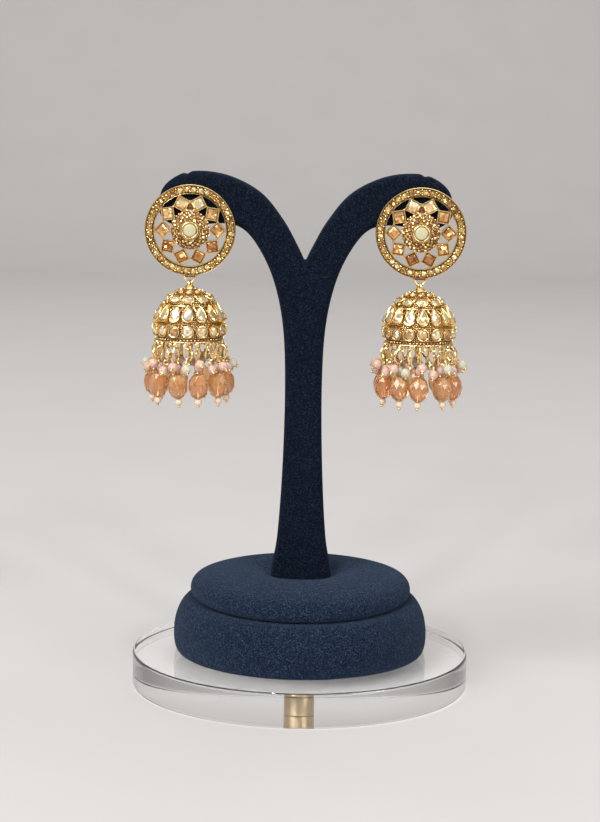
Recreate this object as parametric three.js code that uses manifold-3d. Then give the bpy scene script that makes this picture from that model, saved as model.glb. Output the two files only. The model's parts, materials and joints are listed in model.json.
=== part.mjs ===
// A pair of jhumka earrings hooked on a velvet display stand, in millimetres.
// +Z is up, the front faces -Y, and the origin is the centre of the stand's underside.
import * as THREE from "three";
import { mergeVertices } from "three/addons/utils/BufferGeometryUtils.js";
import Module from "manifold-3d";

const wasm = await Module();
wasm.setup();

// ---------------------------------------------------------------- driving dimensions
const GAP = 0.3; // clearance between pieces that sit in or round each other

const PLATE = { radius: 50, height: 10 };
const FOOT_PIN = { radius: 3, bottom: 0.3, top: 18 };
const BASE = { coreRadius: 31, bulge: 6.7, bottom: PLATE.height, top: 26.4, flare: 62 };
const PAD = { coreRadius: 29.4, bulge: 3.4, bottom: 26.6, edgeTop: 33, crown: 34.3, dimple: 33.2 };
const NECK = { depth: 11, foot: 23, edgeRound: 2 };

const EAR_SPACING = 33.3; // each disc's centre from the stand's middle
const DISC = { centreHeight: 135.1, radius: 13.15, innerRim: 10.3, plate: 1.4, rim: 1.8 };
const SQUARES = { count: 10, orbit: 7.95, halfDiagonal: 2.75 };
const ROSETTE = { radius: 5.75, height: 2.5, seatRadius: 2.2, bezelRadius: 2.6, bezelTop: 3.6 };
const CENTRE_STONE = { radius: 1.9, bottom: 2.2, girdle: 3.4, top: 4 };
const POST = { radius: 0.5, aboveCentre: 4.6, beyondStand: 3.6 };
const CLUTCH = { radius: 2.4, length: 2.6 };
const BRACKET = { radius: 2.1, wire: 0.3 };

const PIVOT_HEIGHT = 119.9; // where the dome's loop hangs on the bracket's wire
const LOOP = { radius: 1.15, wire: 0.33, slack: 0.1 };
const DOME_WALL = 0.9;
const CAP_ROWS = { first: 2, last: 4 }; // the dome profile's rows on the cap's cone
const RIM_DROP = 16.6; // the dome's lower edge below the pivot

const HOOKS = { count: 20, wire: 0.25, ringRadius: 9.6, ringDrop: 17.1 };
const DROPS = { count: 10, orbit: 10, centreDrop: 29 };
const DROP_BEAD = { radius: 2.85, halfHeight: 3.6, endRadius: 1.1, bore: 0.65 };
const DROP_PIN = { shaft: 0.3, topBead: 1.3, endBead: 1.05, ball: 0.45 };
const SMALL_BEADS = { orbit: 12.1, drop: 24, radius: 1.4, thread: 0.3 };

const frontY = -NECK.depth / 2;
const backY = NECK.depth / 2;
const discBackY = frontY - GAP;
const discMidY = discBackY - DISC.plate / 2;
const postHeight = DISC.centreHeight + POST.aboveCentre;

// The stand's neck and one arm, from the foot up the outer edge, round the tip and back to the crotch.
const OUTER_EDGE = [
  // [half width, height]
  [8.9, NECK.foot],
  [8.9, 33],
  [7.2, 44],
  [5.9, 65],
  [5.4, 88],
  [6.1, 106],
  [8.6, 119],
  [12.6, 128.5],
  [17.8, 135.2],
  [24, 137],
  [32, 136.2],
];
const TIP_AND_INNER_EDGE = [
  [38, 136.3],
  [42.2, 139.6],
  [41.6, 146.6],
  [36.5, 150.9],
  [29.5, 151.8],
  [21.1, 150.1],
  [12.7, 145.4],
  [6.3, 137.6],
  [2.2, 130.3],
  [0.3, 126.4],
];

// The dome's outer wall, from the finial's collar down to the rim.
const DOME_PROFILE = [
  // [radius, drop below the pivot]
  [1.1, 1.5],
  [1.4, 2],
  [2.6, 2.6],
  [4.3, 3.3],
  [6.4, 4.2],
  [7, 5.2],
  [7.1, 6.2],
  [9.1, 8.3],
  [10.2, 10.4],
  [10.5, 12.4],
  [10.3, 14.2],
  [9.6, 15.8],
  [9.6, RIM_DROP],
];

// One hook's wire, from the rim's ring out, down and back in.
const HOOK_ROUTE = [
  // [radius, drop below the pivot]
  [9.6, 17],
  [10.9, 18.2],
  [11.3, 19.9],
  [10.6, 21.7],
  [9.8, 22],
];

// ---------------------------------------------------------------- materials
const finish = (color, roughness, metalness, extra = {}) =>
  new THREE.MeshStandardMaterial({ color, roughness, metalness, ...extra });
const FINISHES = {
  acrylic: finish(0xe9eef0, 0.05, 0, { transparent: true, opacity: 0.3 }),
  brass: finish(0xc4a46a, 0.35, 1),
  velvet: finish(0x17243a, 0.95, 0),
  antiqueGold: finish(0xc79a45, 0.35, 1),
  mintStone: finish(0xdfe6c4, 0.35, 0),
  amberGlass: finish(0xd9965f, 0.1, 0),
  blushStone: finish(0xe6b8b0, 0.4, 0),
  pearlPin: finish(0xefe2d0, 0.35, 0),
};

// ---------------------------------------------------------------- solid helpers
// A three.js geometry as a manifold-3d solid.
function solidOf(geometry) {
  const bare = geometry.clone();
  bare.deleteAttribute("normal");
  bare.deleteAttribute("uv");
  const merged = mergeVertices(bare, 1e-4);
  return new wasm.Manifold(
    new wasm.Mesh({
      numProp: 3,
      vertProperties: merged.attributes.position.array,
      triVerts: new Uint32Array(merged.index.array),
    }),
  );
}

// A manifold-3d solid as a three.js geometry.
function geometryOf(solid) {
  const { vertProperties, triVerts } = solid.getMesh();
  const geometry = new THREE.BufferGeometry();
  geometry.setAttribute("position", new THREE.BufferAttribute(vertProperties, 3));
  geometry.setIndex(new THREE.BufferAttribute(triVerts, 1));
  geometry.computeVertexNormals();
  return geometry;
}

const joined = (first, ...others) =>
  geometryOf(others.reduce((sum, g) => sum.add(solidOf(g)), solidOf(first)));
const cut = (body, ...tools) =>
  geometryOf(tools.reduce((left, g) => left.subtract(solidOf(g)), solidOf(body)));

// A profile of [radius, height] rows turned about Z. Rows run from the bottom up the outside.
function turned(profile, segments) {
  const points = profile.map(([radius, height]) => new THREE.Vector2(radius, height));
  return new THREE.LatheGeometry(points, segments).rotateX(Math.PI / 2);
}

function roundBar(radius, low, high, segments) {
  const profile = [
    [0, low],
    [radius, low],
    [radius, high],
    [0, high],
  ];
  return turned(profile, segments);
}

// A round wire along a curve.
function wire(curve, radius, sides, steps) {
  const section = new THREE.Shape();
  for (let i = 0; i < sides; i++) {
    const angle = (2 * Math.PI * i) / sides;
    const point = [radius * Math.cos(angle), radius * Math.sin(angle)];
    if (i) section.lineTo(...point);
    else section.moveTo(...point);
  }
  return new THREE.ExtrudeGeometry(section, { steps, extrudePath: curve, bevelEnabled: false });
}

const smoothLine = (rows) => new THREE.SplineCurve(rows.map(([x, y]) => new THREE.Vector2(x, y)));

// Turns what is drawn in local x, y and built up along z to stand upright with z pointing at the front.
const upright = (geometry) => geometry.rotateX(Math.PI / 2);

// ---------------------------------------------------------------- stand
function plateGeometry() {
  const bore = FOOT_PIN.radius + GAP;
  const profile = [
    [bore, 0],
    [PLATE.radius, 0],
    [PLATE.radius, PLATE.height],
    [bore, PLATE.height],
    [bore, 0],
  ];
  return turned(profile, 48);
}

function footPinGeometry() {
  return roundBar(FOOT_PIN.radius, FOOT_PIN.bottom, FOOT_PIN.top, 16);
}

// The neck's foot with its clearance, as the pocket that the cushions leave for it.
function footPocket() {
  const width = 2 * (OUTER_EDGE[0][0] + GAP);
  const height = PAD.crown + 2 - NECK.foot;
  const box = new THREE.BoxGeometry(width, NECK.depth + 2 * GAP, height);
  return box.translate(0, 0, NECK.foot - GAP + height / 2);
}

function baseCushionGeometry() {
  const middle = (BASE.bottom + BASE.top) / 2;
  const halfHeight = (BASE.top - BASE.bottom) / 2;
  const flare = THREE.MathUtils.degToRad(BASE.flare);
  const profile = [[0, BASE.bottom]];
  const steps = 6;
  for (let i = 0; i <= steps; i++) {
    const angle = -flare + (2 * flare * i) / steps;
    const height = middle + (halfHeight * Math.sin(angle)) / Math.sin(flare);
    profile.push([BASE.coreRadius + BASE.bulge * Math.cos(angle), height]);
  }
  profile.push([0, BASE.top]);
  const pinPocket = roundBar(FOOT_PIN.radius + GAP, 0, FOOT_PIN.top + GAP, 16);
  return cut(turned(profile, 32), pinPocket, footPocket());
}

function topPadGeometry() {
  const middle = (PAD.bottom + PAD.edgeTop) / 2;
  const halfHeight = (PAD.edgeTop - PAD.bottom) / 2;
  const profile = [[0, PAD.bottom]];
  const steps = 4;
  for (let i = 0; i <= steps; i++) {
    const angle = -Math.PI / 2 + (Math.PI * i) / steps;
    profile.push([PAD.coreRadius + PAD.bulge * Math.cos(angle), middle + halfHeight * Math.sin(angle)]);
  }
  profile.push([0.65 * PAD.coreRadius, PAD.crown], [0.35 * PAD.coreRadius, PAD.dimple], [0, PAD.dimple]);
  return cut(turned(profile, 32), footPocket());
}

// Both arms in one outline, extruded through the neck's depth with rounded edges.
function neckGeometry() {
  const outer = smoothLine(OUTER_EDGE).getPoints(18);
  const tip = smoothLine([OUTER_EDGE.at(-1), ...TIP_AND_INNER_EDGE]).getPoints(22).slice(1);
  const half = [...outer, ...tip];
  const mirrored = half.slice().reverse().map((p) => new THREE.Vector2(-p.x, p.y));
  const outline = new THREE.Shape([...half, ...mirrored]);
  const body = new THREE.ExtrudeGeometry(outline, {
    depth: NECK.depth - 2 * NECK.edgeRound,
    bevelThickness: NECK.edgeRound,
    bevelSize: NECK.edgeRound / 2,
    bevelOffset: -NECK.edgeRound / 2,
    bevelSegments: 1,
  });
  upright(body.translate(0, 0, NECK.edgeRound - NECK.depth / 2));
  const holes = [-EAR_SPACING, EAR_SPACING].map((x) =>
    upright(roundBar(2 * POST.radius, -NECK.depth, NECK.depth, 10).translate(x, postHeight, 0)),
  );
  return cut(body, ...holes);
}

// ---------------------------------------------------------------- ear disc
// The angle from a square's own spoke at which its side, slanting outwards (+1) or inwards (-1), meets a circle.
function sideMeets(circle, outwards) {
  const reach = (SQUARES.orbit + outwards * SQUARES.halfDiagonal) / circle;
  return outwards > 0
    ? Math.asin(reach / Math.SQRT2) - Math.PI / 4
    : Math.acos(reach / Math.SQRT2) - Math.PI / 4;
}

// An opening between two squares: a point where their sides cross and an arc along the rim or the rosette.
function opening(spoke, circle, outwards) {
  const half = Math.PI / SQUARES.count;
  const slant = Math.cos(half) + outwards * Math.sin(half);
  const cornerRadius = (SQUARES.orbit + outwards * SQUARES.halfDiagonal) / slant;
  const spread = half - sideMeets(circle, outwards);
  const path = new THREE.Path();
  path.moveTo(cornerRadius * Math.cos(spoke), cornerRadius * Math.sin(spoke));
  const steps = 2;
  for (let i = 0; i <= steps; i++) {
    const angle = spoke - spread + (2 * spread * i) / steps;
    path.lineTo(circle * Math.cos(angle), circle * Math.sin(angle));
  }
  path.closePath();
  return path;
}

// The pierced plate: the squares of metal that hold the stones touch corner to corner round the rosette.
function piercedPlate() {
  const outline = new THREE.Shape();
  outline.absarc(0, 0, (DISC.innerRim + DISC.radius) / 2, 0, 2 * Math.PI);
  for (let i = 0; i < SQUARES.count; i++) {
    const spoke = Math.PI / 2 + (2 * Math.PI * i) / SQUARES.count;
    outline.holes.push(opening(spoke, DISC.innerRim, 1), opening(spoke, ROSETTE.radius, -1));
  }
  return new THREE.ExtrudeGeometry(outline, { depth: DISC.plate, bevelEnabled: false, curveSegments: 20 });
}

function earDiscGeometry() {
  const rim = turned(
    [
      [DISC.innerRim, 0],
      [DISC.radius, 0],
      [DISC.radius, DISC.rim],
      [DISC.innerRim, DISC.rim],
      [DISC.innerRim, 0],
    ],
    32,
  );
  const rosette = turned(
    [
      [0, 0],
      [ROSETTE.radius, 0],
      [ROSETTE.radius, DISC.plate + 0.3],
      [ROSETTE.bezelRadius, ROSETTE.height],
      [ROSETTE.bezelRadius, ROSETTE.bezelTop],
      [ROSETTE.seatRadius, ROSETTE.bezelTop],
      [ROSETTE.seatRadius, CENTRE_STONE.bottom - GAP],
      [0, CENTRE_STONE.bottom - GAP],
    ],
    16,
  );
  const bracketTop = -DISC.radius + 0.2;
  const bracketDepth = DISC.centreHeight + bracketTop - PIVOT_HEIGHT;
  const bracketCurve = new THREE.CatmullRomCurve3(
    [0, 0.2, 0.5, 0.8, 1].map((share) => {
      const angle = Math.PI * (1 + share);
      const depth = bracketTop + bracketDepth * Math.sin(angle);
      return new THREE.Vector3(BRACKET.radius * Math.cos(angle), depth, DISC.plate / 2);
    }),
  );
  const bracket = wire(bracketCurve, BRACKET.wire, 6, 10);
  const post = roundBar(POST.radius, discBackY - backY - POST.beyondStand, DISC.plate / 2, 8);
  post.translate(0, POST.aboveCentre, 0);
  return upright(joined(piercedPlate(), rim, rosette, bracket, post));
}

function centreStoneGeometry() {
  const profile = [
    [0, CENTRE_STONE.bottom],
    [CENTRE_STONE.radius, CENTRE_STONE.bottom],
    [CENTRE_STONE.radius, CENTRE_STONE.girdle],
    [0.7 * CENTRE_STONE.radius, CENTRE_STONE.top],
    [0, CENTRE_STONE.top + 0.1],
  ];
  return upright(turned(profile, 12));
}

function clutchGeometry() {
  const bore = POST.radius + GAP;
  const profile = [
    [bore, 0],
    [CLUTCH.radius, 0],
    [CLUTCH.radius, 0.4 * CLUTCH.length],
    [0.6 * CLUTCH.radius, CLUTCH.length],
    [bore, CLUTCH.length],
    [bore, 0],
  ];
  return turned(profile, 10).rotateX(-Math.PI / 2);
}

// ---------------------------------------------------------------- bell
// A hollow wall of even thickness with a solid collar, and the soldered loop above it.
function domeGeometry() {
  const outer = DOME_PROFILE.map(([radius, drop]) => [radius, -drop]).reverse();
  const inner = DOME_PROFILE.slice(CAP_ROWS.first).map(([radius, drop], i) => {
    const onCap = i + CAP_ROWS.first <= CAP_ROWS.last;
    return onCap ? [radius - DOME_WALL / 2, -drop - DOME_WALL] : [radius - DOME_WALL, -drop];
  });
  inner[inner.length - 1][1] = -RIM_DROP;
  const ceiling = [0, inner[0][1] + 0.4];
  const shell = turned([ceiling, ...inner, ...outer, [0, -DOME_PROFILE[0][1]]], 24);
  const loopCentre = LOOP.slack + BRACKET.wire - (LOOP.radius - LOOP.wire);
  const loop = new THREE.TorusGeometry(LOOP.radius, LOOP.wire, 5, 12);
  loop.rotateY(Math.PI / 2).translate(0, 0, loopCentre);
  return joined(shell, loop);
}

function hooksGeometry(phase) {
  const ring = new THREE.TorusGeometry(HOOKS.ringRadius, HOOKS.wire, 4, 20);
  ring.translate(0, 0, -HOOKS.ringDrop);
  const hooks = [];
  for (let i = 0; i < HOOKS.count; i++) {
    const angle = phase + (2 * Math.PI * i) / HOOKS.count;
    const route = HOOK_ROUTE.map(
      ([radius, drop]) => new THREE.Vector3(radius * Math.sin(angle), -radius * Math.cos(angle), -drop),
    );
    hooks.push(wire(new THREE.CatmullRomCurve3(route), HOOKS.wire, 4, 4));
  }
  return joined(ring, ...hooks);
}

// The small drops' beads, strung on one ring of thread.
function smallBeadsGeometry(phase) {
  const thread = new THREE.TorusGeometry(SMALL_BEADS.orbit, SMALL_BEADS.thread, 4, 20);
  const beads = [];
  for (let i = 0; i < DROPS.count; i++) {
    const angle = phase + (2 * Math.PI * (i + 0.5)) / DROPS.count;
    const bead = new THREE.SphereGeometry(SMALL_BEADS.radius, 6, 4).rotateX(Math.PI / 2);
    bead.translate(SMALL_BEADS.orbit * Math.sin(angle), -SMALL_BEADS.orbit * Math.cos(angle), 0);
    beads.push(bead);
  }
  return joined(thread, ...beads);
}

function dropBeadGeometry() {
  const { radius, halfHeight, endRadius, bore } = DROP_BEAD;
  const profile = [
    [bore, -halfHeight],
    [endRadius, -halfHeight],
    [radius, -0.3 * halfHeight],
    [radius, 0.3 * halfHeight],
    [endRadius, halfHeight],
    [bore, halfHeight],
    [bore, -halfHeight],
  ];
  return turned(profile, 8);
}

// The head pin with what is strung on it: an end ball and bead below the drop, a bead above it.
function dropPinGeometry() {
  const { shaft, topBead, endBead, ball } = DROP_PIN;
  const beadEnd = DROP_BEAD.halfHeight + GAP;
  const lowest = -beadEnd - 2 * endBead;
  const profile = [
    [0, lowest - 2 * ball],
    [ball, lowest - ball],
    [shaft, lowest],
    [endBead, lowest + endBead],
    [shaft, -beadEnd],
    [shaft, beadEnd],
    [topBead, beadEnd + topBead],
    [shaft, beadEnd + 2 * topBead],
    [0, beadEnd + 2 * topBead + shaft],
  ];
  return turned(profile, 5);
}

// ---------------------------------------------------------------- assembly
function piece(name, geometry, material, position = [0, 0, 0]) {
  const mesh = new THREE.Mesh(geometry, material);
  mesh.name = name;
  mesh.position.set(...position);
  return mesh;
}

function stand() {
  const group = new THREE.Group();
  group.add(
    piece("acrylic_plate", plateGeometry(), FINISHES.acrylic),
    piece("foot_pin", footPinGeometry(), FINISHES.brass),
    piece("base_cushion", baseCushionGeometry(), FINISHES.velvet),
    piece("top_pad", topPadGeometry(), FINISHES.velvet),
    piece("stand_neck", neckGeometry(), FINISHES.velvet),
  );
  return group;
}

// The bell hangs from the bracket: its group's origin is on the hinge line.
function bell(side, dropPhase) {
  const group = new THREE.Group();
  group.add(piece(`${side}_dome`, domeGeometry(), FINISHES.antiqueGold));
  group.add(piece(`${side}_rim_hooks`, hooksGeometry(dropPhase), FINISHES.antiqueGold));
  const smallBeads = smallBeadsGeometry(dropPhase);
  group.add(piece(`${side}_small_beads`, smallBeads, FINISHES.blushStone, [0, 0, -SMALL_BEADS.drop]));
  for (let i = 0; i < DROPS.count; i++) {
    const angle = dropPhase + (2 * Math.PI * i) / DROPS.count;
    const place = [DROPS.orbit * Math.sin(angle), -DROPS.orbit * Math.cos(angle), -DROPS.centreDrop];
    const number = String(i + 1).padStart(2, "0");
    group.add(piece(`${side}_drop_bead_${number}`, dropBeadGeometry(), FINISHES.amberGlass, place));
    group.add(piece(`${side}_drop_pin_${number}`, dropPinGeometry(), FINISHES.pearlPin, place));
  }
  return group;
}

function earring(side, x, dropPhase) {
  const group = new THREE.Group();
  const discPlace = [x, discBackY, DISC.centreHeight];
  group.add(piece(`${side}_ear_disc`, earDiscGeometry(), FINISHES.antiqueGold, discPlace));
  group.add(piece(`${side}_centre_stone`, centreStoneGeometry(), FINISHES.mintStone, discPlace));
  group.add(piece(`${side}_clutch`, clutchGeometry(), FINISHES.brass, [x, backY + GAP, postHeight]));
  const hung = bell(side, dropPhase);
  hung.position.set(x, discMidY, PIVOT_HEIGHT);
  group.add(hung);
  return group;
}

const display = new THREE.Group();
display.add(stand());
display.add(earring("left", -EAR_SPACING, Math.PI / DROPS.count));
display.add(earring("right", EAR_SPACING, 0));

export default display;
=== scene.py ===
"""A pair of antique gold jhumka earrings on a navy velvet stand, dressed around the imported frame.

Shapes are worked out in millimetres as arrays of points and become metres when their mesh is made.
+Z is up and the front faces -Y. Every table of sizes names its columns.
"""
import json
import math

import bpy
import numpy as np
from mathutils import Matrix, Vector


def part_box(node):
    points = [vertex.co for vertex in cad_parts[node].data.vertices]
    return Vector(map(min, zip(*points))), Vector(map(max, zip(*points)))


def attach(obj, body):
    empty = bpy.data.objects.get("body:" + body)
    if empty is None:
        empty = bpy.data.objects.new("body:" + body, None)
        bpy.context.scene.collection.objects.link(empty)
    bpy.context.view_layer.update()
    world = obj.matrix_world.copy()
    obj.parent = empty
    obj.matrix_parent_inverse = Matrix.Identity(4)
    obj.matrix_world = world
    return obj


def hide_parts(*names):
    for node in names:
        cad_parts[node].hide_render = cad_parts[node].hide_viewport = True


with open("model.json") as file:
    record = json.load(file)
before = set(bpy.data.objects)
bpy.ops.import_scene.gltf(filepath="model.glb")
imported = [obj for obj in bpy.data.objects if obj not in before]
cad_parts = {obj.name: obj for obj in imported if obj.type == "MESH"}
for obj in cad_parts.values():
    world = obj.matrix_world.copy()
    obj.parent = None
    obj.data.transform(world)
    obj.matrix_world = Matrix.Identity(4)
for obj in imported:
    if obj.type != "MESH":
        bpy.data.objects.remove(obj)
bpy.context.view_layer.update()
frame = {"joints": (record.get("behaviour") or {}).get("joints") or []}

MM = 0.001
SIDES = ("left", "right")
DROP_COUNT = 10


def node_box(node):
    """Lowest and highest corner of a node, in millimetres."""
    low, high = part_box(node)
    return np.array(low) / MM, np.array(high) / MM


HINGES = {joint["child"].split("_")[0]: np.array(joint["pos_m"]) / MM for joint in frame["joints"]}
DISC_LOW, DISC_HIGH = node_box("right_ear_disc")
DISC_RADIUS = (DISC_HIGH[0] - DISC_LOW[0]) / 2
DISC_HEIGHT = DISC_HIGH[2] - DISC_RADIUS
STAND_FRONT = node_box("stand_neck")[0][1]
DISC_BACK = STAND_FRONT - 0.3

# ---------------------------------------------------------------- shapes


def circle(count):
    """Equal angles round a full turn, in radians."""
    return 2 * np.pi * np.arange(count) / count


def unit(vectors):
    """Vectors divided by their lengths."""
    return vectors / np.linalg.norm(vectors, axis=-1, keepdims=True)


def round_z(radius, angle, height):
    """Points (radius sin(angle), -radius cos(angle), height): angles run from the front to the right."""
    across, along = radius * np.sin(angle), -radius * np.cos(angle)
    return np.stack(np.broadcast_arrays(across, along, height), axis=-1)


class Shape:
    """Points in millimetres and the faces on them, each with a finish and flat or smooth shading.

    A row of faces lists one face's points anticlockwise as seen from outside, filled up with -1.
    Tint is a number from 0 to 1 for each point, which finishes may read.
    """

    def __init__(self, points, faces, finish, smooth=True, tint=0.5):
        points = np.asarray(points, float).reshape(-1, 3)
        faces = np.asarray(faces, int)
        used, flat = np.unique(faces[faces >= 0], return_inverse=True)
        self.faces = np.full(faces.shape, -1)
        self.faces[faces >= 0] = flat
        self.points = points[used]
        self.finish = np.full(len(faces), finish, dtype="<U24")
        self.smooth = np.full(len(faces), smooth)
        self.tint = np.broadcast_to(np.asarray(tint, float), len(points))[used].copy()

    def _like(self, points, faces, copies, tint):
        made = Shape.__new__(Shape)
        made.points = points
        made.faces = faces
        made.finish = np.tile(self.finish, copies)
        made.smooth = np.tile(self.smooth, copies)
        made.tint = tint
        return made

    def copies(self, places, tints=None):
        """The shape at each place: its points times the place's turn, plus the place's shift."""
        places = np.asarray(places, float).reshape(-1, 4, 4)
        turned = np.einsum("kij,pj->kpi", places[:, :3, :3], self.points)
        points = (turned + places[:, None, :3, 3]).reshape(-1, 3)
        starts = (len(self.points) * np.arange(len(places)))[:, None, None]
        faces = np.where(self.faces >= 0, self.faces + starts, -1).reshape(-1, self.faces.shape[1])
        if tints is None:
            tint = np.tile(self.tint, len(places))
        else:
            tint = np.repeat(np.asarray(tints, float), len(self.points))
        return self._like(points, faces, len(places), tint)

    def at(self, place):
        """The shape at one place."""
        return self.copies(np.asarray(place)[None])


def join(*shapes):
    """All these shapes as one, each with its faces counted on from the points before it."""
    width = max(shape.faces.shape[1] for shape in shapes)
    start, rows = 0, []
    for shape in shapes:
        fill = ((0, 0), (0, width - shape.faces.shape[1]))
        rows.append(np.pad(np.where(shape.faces >= 0, shape.faces + start, -1), fill, constant_values=-1))
        start += len(shape.points)
    made = shapes[0]._like(np.concatenate([s.points for s in shapes]), np.concatenate(rows), 1, None)
    made.finish = np.concatenate([s.finish for s in shapes])
    made.smooth = np.concatenate([s.smooth for s in shapes])
    made.tint = np.concatenate([s.tint for s in shapes])
    return made


def surface(points, finish, closed=(False, True), poles=(False, False), smooth=True, tint=0.5):
    """Four-sided faces between neighbouring points of a grid of rows and columns.

    A closed direction joins its last line to its first. A pole is a first or last row that is one point.
    Columns times rows points outwards.
    """
    rows, columns = points.shape[:2]
    index = np.arange(rows * columns).reshape(rows, columns)
    if poles[0]:
        index[0] = index[0, 0]
    if poles[1]:
        index[-1] = index[-1, 0]
    if closed[0]:
        index = np.concatenate([index, index[:1]])
    if closed[1]:
        index = np.concatenate([index, index[:, :1]], axis=1)
    corners = [index[:-1, :-1], index[:-1, 1:], index[1:, 1:], index[1:, :-1]]
    faces = np.stack(corners, axis=-1).reshape(-1, 4)
    first = faces[:, 0] == faces[:, 1]
    faces[first] = np.insert(faces[first][:, [0, 2, 3]], 3, -1, axis=1)
    last = faces[:, 2] == faces[:, 3]
    faces[last, 3] = -1
    tint = tint if np.ndim(tint) == 0 else np.asarray(tint).reshape(-1)
    return Shape(points, faces, finish, smooth, tint)


def turned(profile, count, finish, loop=False, smooth=True):
    """A profile of (radius, height) rows goes round Z: x = radius sin(angle), y = -radius cos(angle).

    The rows run from the bottom up the outside. A loop joins the last row to the first.
    """
    radius, height = np.asarray(profile, float).T[:, :, None]
    points = round_z(radius, circle(count), height)
    poles = (not loop and radius[0, 0] == 0, not loop and radius[-1, 0] == 0)
    return surface(points, finish, (loop, True), poles, smooth)


def ball(radius, finish, rows=5, count=8, smooth=True):
    """A half circle of (radius cos, radius sin) turned round Z."""
    angle = np.linspace(-np.pi / 2, np.pi / 2, rows + 1)
    profile = np.stack([radius * np.cos(angle), radius * np.sin(angle)], axis=1)
    profile[[0, -1], 0] = 0
    return turned(profile, count, finish, smooth=smooth)


def wire(path, radius, finish, side, sides=8, loop=False):
    """A circle of the radius carried along the path, square to it: path + radius (cos across + sin over).

    Side is a direction that the path never takes. The radius may be a number or one for each path point
    and each point round the circle. An open wire ends in flat faces.
    """
    path = np.asarray(path, float)
    radius = np.broadcast_to(np.asarray(radius, float), (len(path), sides))
    if loop:
        ahead = np.roll(path, -1, 0) - np.roll(path, 1, 0)
    else:
        ahead = np.gradient(path, axis=0)
        pick = np.r_[0, np.arange(len(path)), len(path) - 1]
        path, ahead, radius = path[pick], ahead[pick], radius[pick].copy()
        radius[[0, -1]] = 0
    tangent = unit(ahead)
    across = unit(np.cross(tangent, side))
    over = np.cross(tangent, across)
    angle = circle(sides)[:, None]
    ring = np.cos(angle) * across[:, None] + np.sin(angle) * over[:, None]
    points = path[:, None] + radius[..., None] * ring
    return surface(points, finish, (loop, True), (not loop, not loop))


def hoop_path(radius, height, count):
    """A circle round Z at a height."""
    return round_z(radius, circle(count), float(height))


def hoop(radius, height, thickness, finish, count=96, sides=8):
    """A wire bent into a circle round Z."""
    return wire(hoop_path(radius, height, count), thickness, finish, (0, 0, 1), sides, loop=True)


def rope_hoop(radius, height, thickness, twists, finish, sides=8):
    """A hoop of two twisted strands: the section's radius follows |cos| of its angle less the twist."""
    count = twists * 5
    turn = np.pi * twists * np.arange(count)[:, None] / count
    lobes = np.abs(np.cos(circle(sides)[None] - turn))
    path = hoop_path(radius, height, count)
    return wire(path, thickness * (0.62 + 0.38 * lobes), finish, (0, 0, 1), sides, loop=True)


def lofted(outline, levels, finish, smooth=False, tint=0.5):
    """An outline of (x, y) rows is scaled and lifted at each level of (scale, height), and capped."""
    outline = np.asarray(outline, float)
    scale, height = np.asarray(levels, float).T[:, :, None]
    flat = np.broadcast_arrays(scale * outline[:, 0], scale * outline[:, 1], height)
    points = np.stack(flat, axis=-1)
    walls = surface(points, finish, smooth=smooth, tint=tint)
    count = len(outline)
    lower = np.arange(count)[None, ::-1]
    upper = np.arange(count)[None] + count * (len(levels) - 1)
    caps = Shape(points, np.concatenate([lower, upper]), finish, False, tint)
    return join(walls, caps)


def faceted(profile, sides, finish, tint=0.5):
    """Rings of the profile's (radius, height) rows, every second one turned half a step, with
    triangles between neighbouring rings and a flat face at each end."""
    radius, height = np.asarray(profile, float).T[:, :, None]
    rows = len(radius)
    odd = np.arange(rows) % 2 == 1
    angle = circle(sides)[None] + odd[:, None] * np.pi / sides
    points = round_z(radius, angle, height)
    index = np.arange(rows * sides).reshape(rows, sides)
    here, there = index[:-1], index[1:]
    here_next, there_next = np.roll(here, -1, 1), np.roll(there, -1, 1)
    lean = odd[:-1, None]
    first = np.stack([here, here_next, np.where(lean, there_next, there)], axis=-1)
    second = np.stack([np.where(lean, here, here_next), there_next, there], axis=-1)
    sides_of = np.concatenate([first.reshape(-1, 3), second.reshape(-1, 3)])
    walls = np.pad(sides_of, ((0, 0), (0, sides - 3)), constant_values=-1)
    ends = np.stack([index[0, ::-1], index[-1]])
    return Shape(points, np.concatenate([walls, ends]), finish, False, tint)


def rounded(rows, times=2, loop=False):
    """Corners cut twice over: each stretch keeps the points at a quarter and three quarters of it."""
    rows = np.asarray(rows, float)
    for _ in range(times):
        start, end = (rows, np.roll(rows, -1, 0)) if loop else (rows[:-1], rows[1:])
        cut = np.stack([0.75 * start + 0.25 * end, 0.25 * start + 0.75 * end], axis=1)
        cut = cut.reshape(-1, rows.shape[1])
        rows = cut if loop else np.concatenate([rows[:1], cut, rows[-1:]])
    return rows


# ---------------------------------------------------------------- places


def place(origin, x_axis, y_axis, z_axis):
    """Matrices whose columns are the three axes and the origin, one for each row given."""
    given = (np.atleast_2d(np.asarray(v, float)) for v in (x_axis, y_axis, z_axis, origin))
    columns = np.broadcast_arrays(*given)
    matrix = np.zeros((len(columns[0]), 4, 4))
    matrix[:, :3] = np.stack(columns, axis=-1)
    matrix[:, 3, 3] = 1
    return matrix


def around(angles, radius, height, tilt=0.0):
    """Places on a circle round Z. Their own Z leaves the axis by the tilt, and their own Y points
    inwards and, as the tilt grows, upwards. Angles are in radians from the front to the right."""
    given = (np.atleast_1d(np.asarray(v, float)) for v in (angles, radius, height, tilt))
    angles, radius, height, tilt = np.broadcast_arrays(*given)
    zero, one = np.zeros_like(angles), np.ones_like(angles)
    out = np.stack([np.sin(angles), -np.cos(angles), zero], axis=1)
    up = np.stack([zero, zero, one], axis=1)
    cos, sin = np.cos(tilt)[:, None], np.sin(tilt)[:, None]
    z_axis = cos * up + sin * out
    y_axis = sin * up - cos * out
    return place(radius[:, None] * out + height[:, None] * up, np.cross(y_axis, z_axis), y_axis, z_axis)


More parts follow.
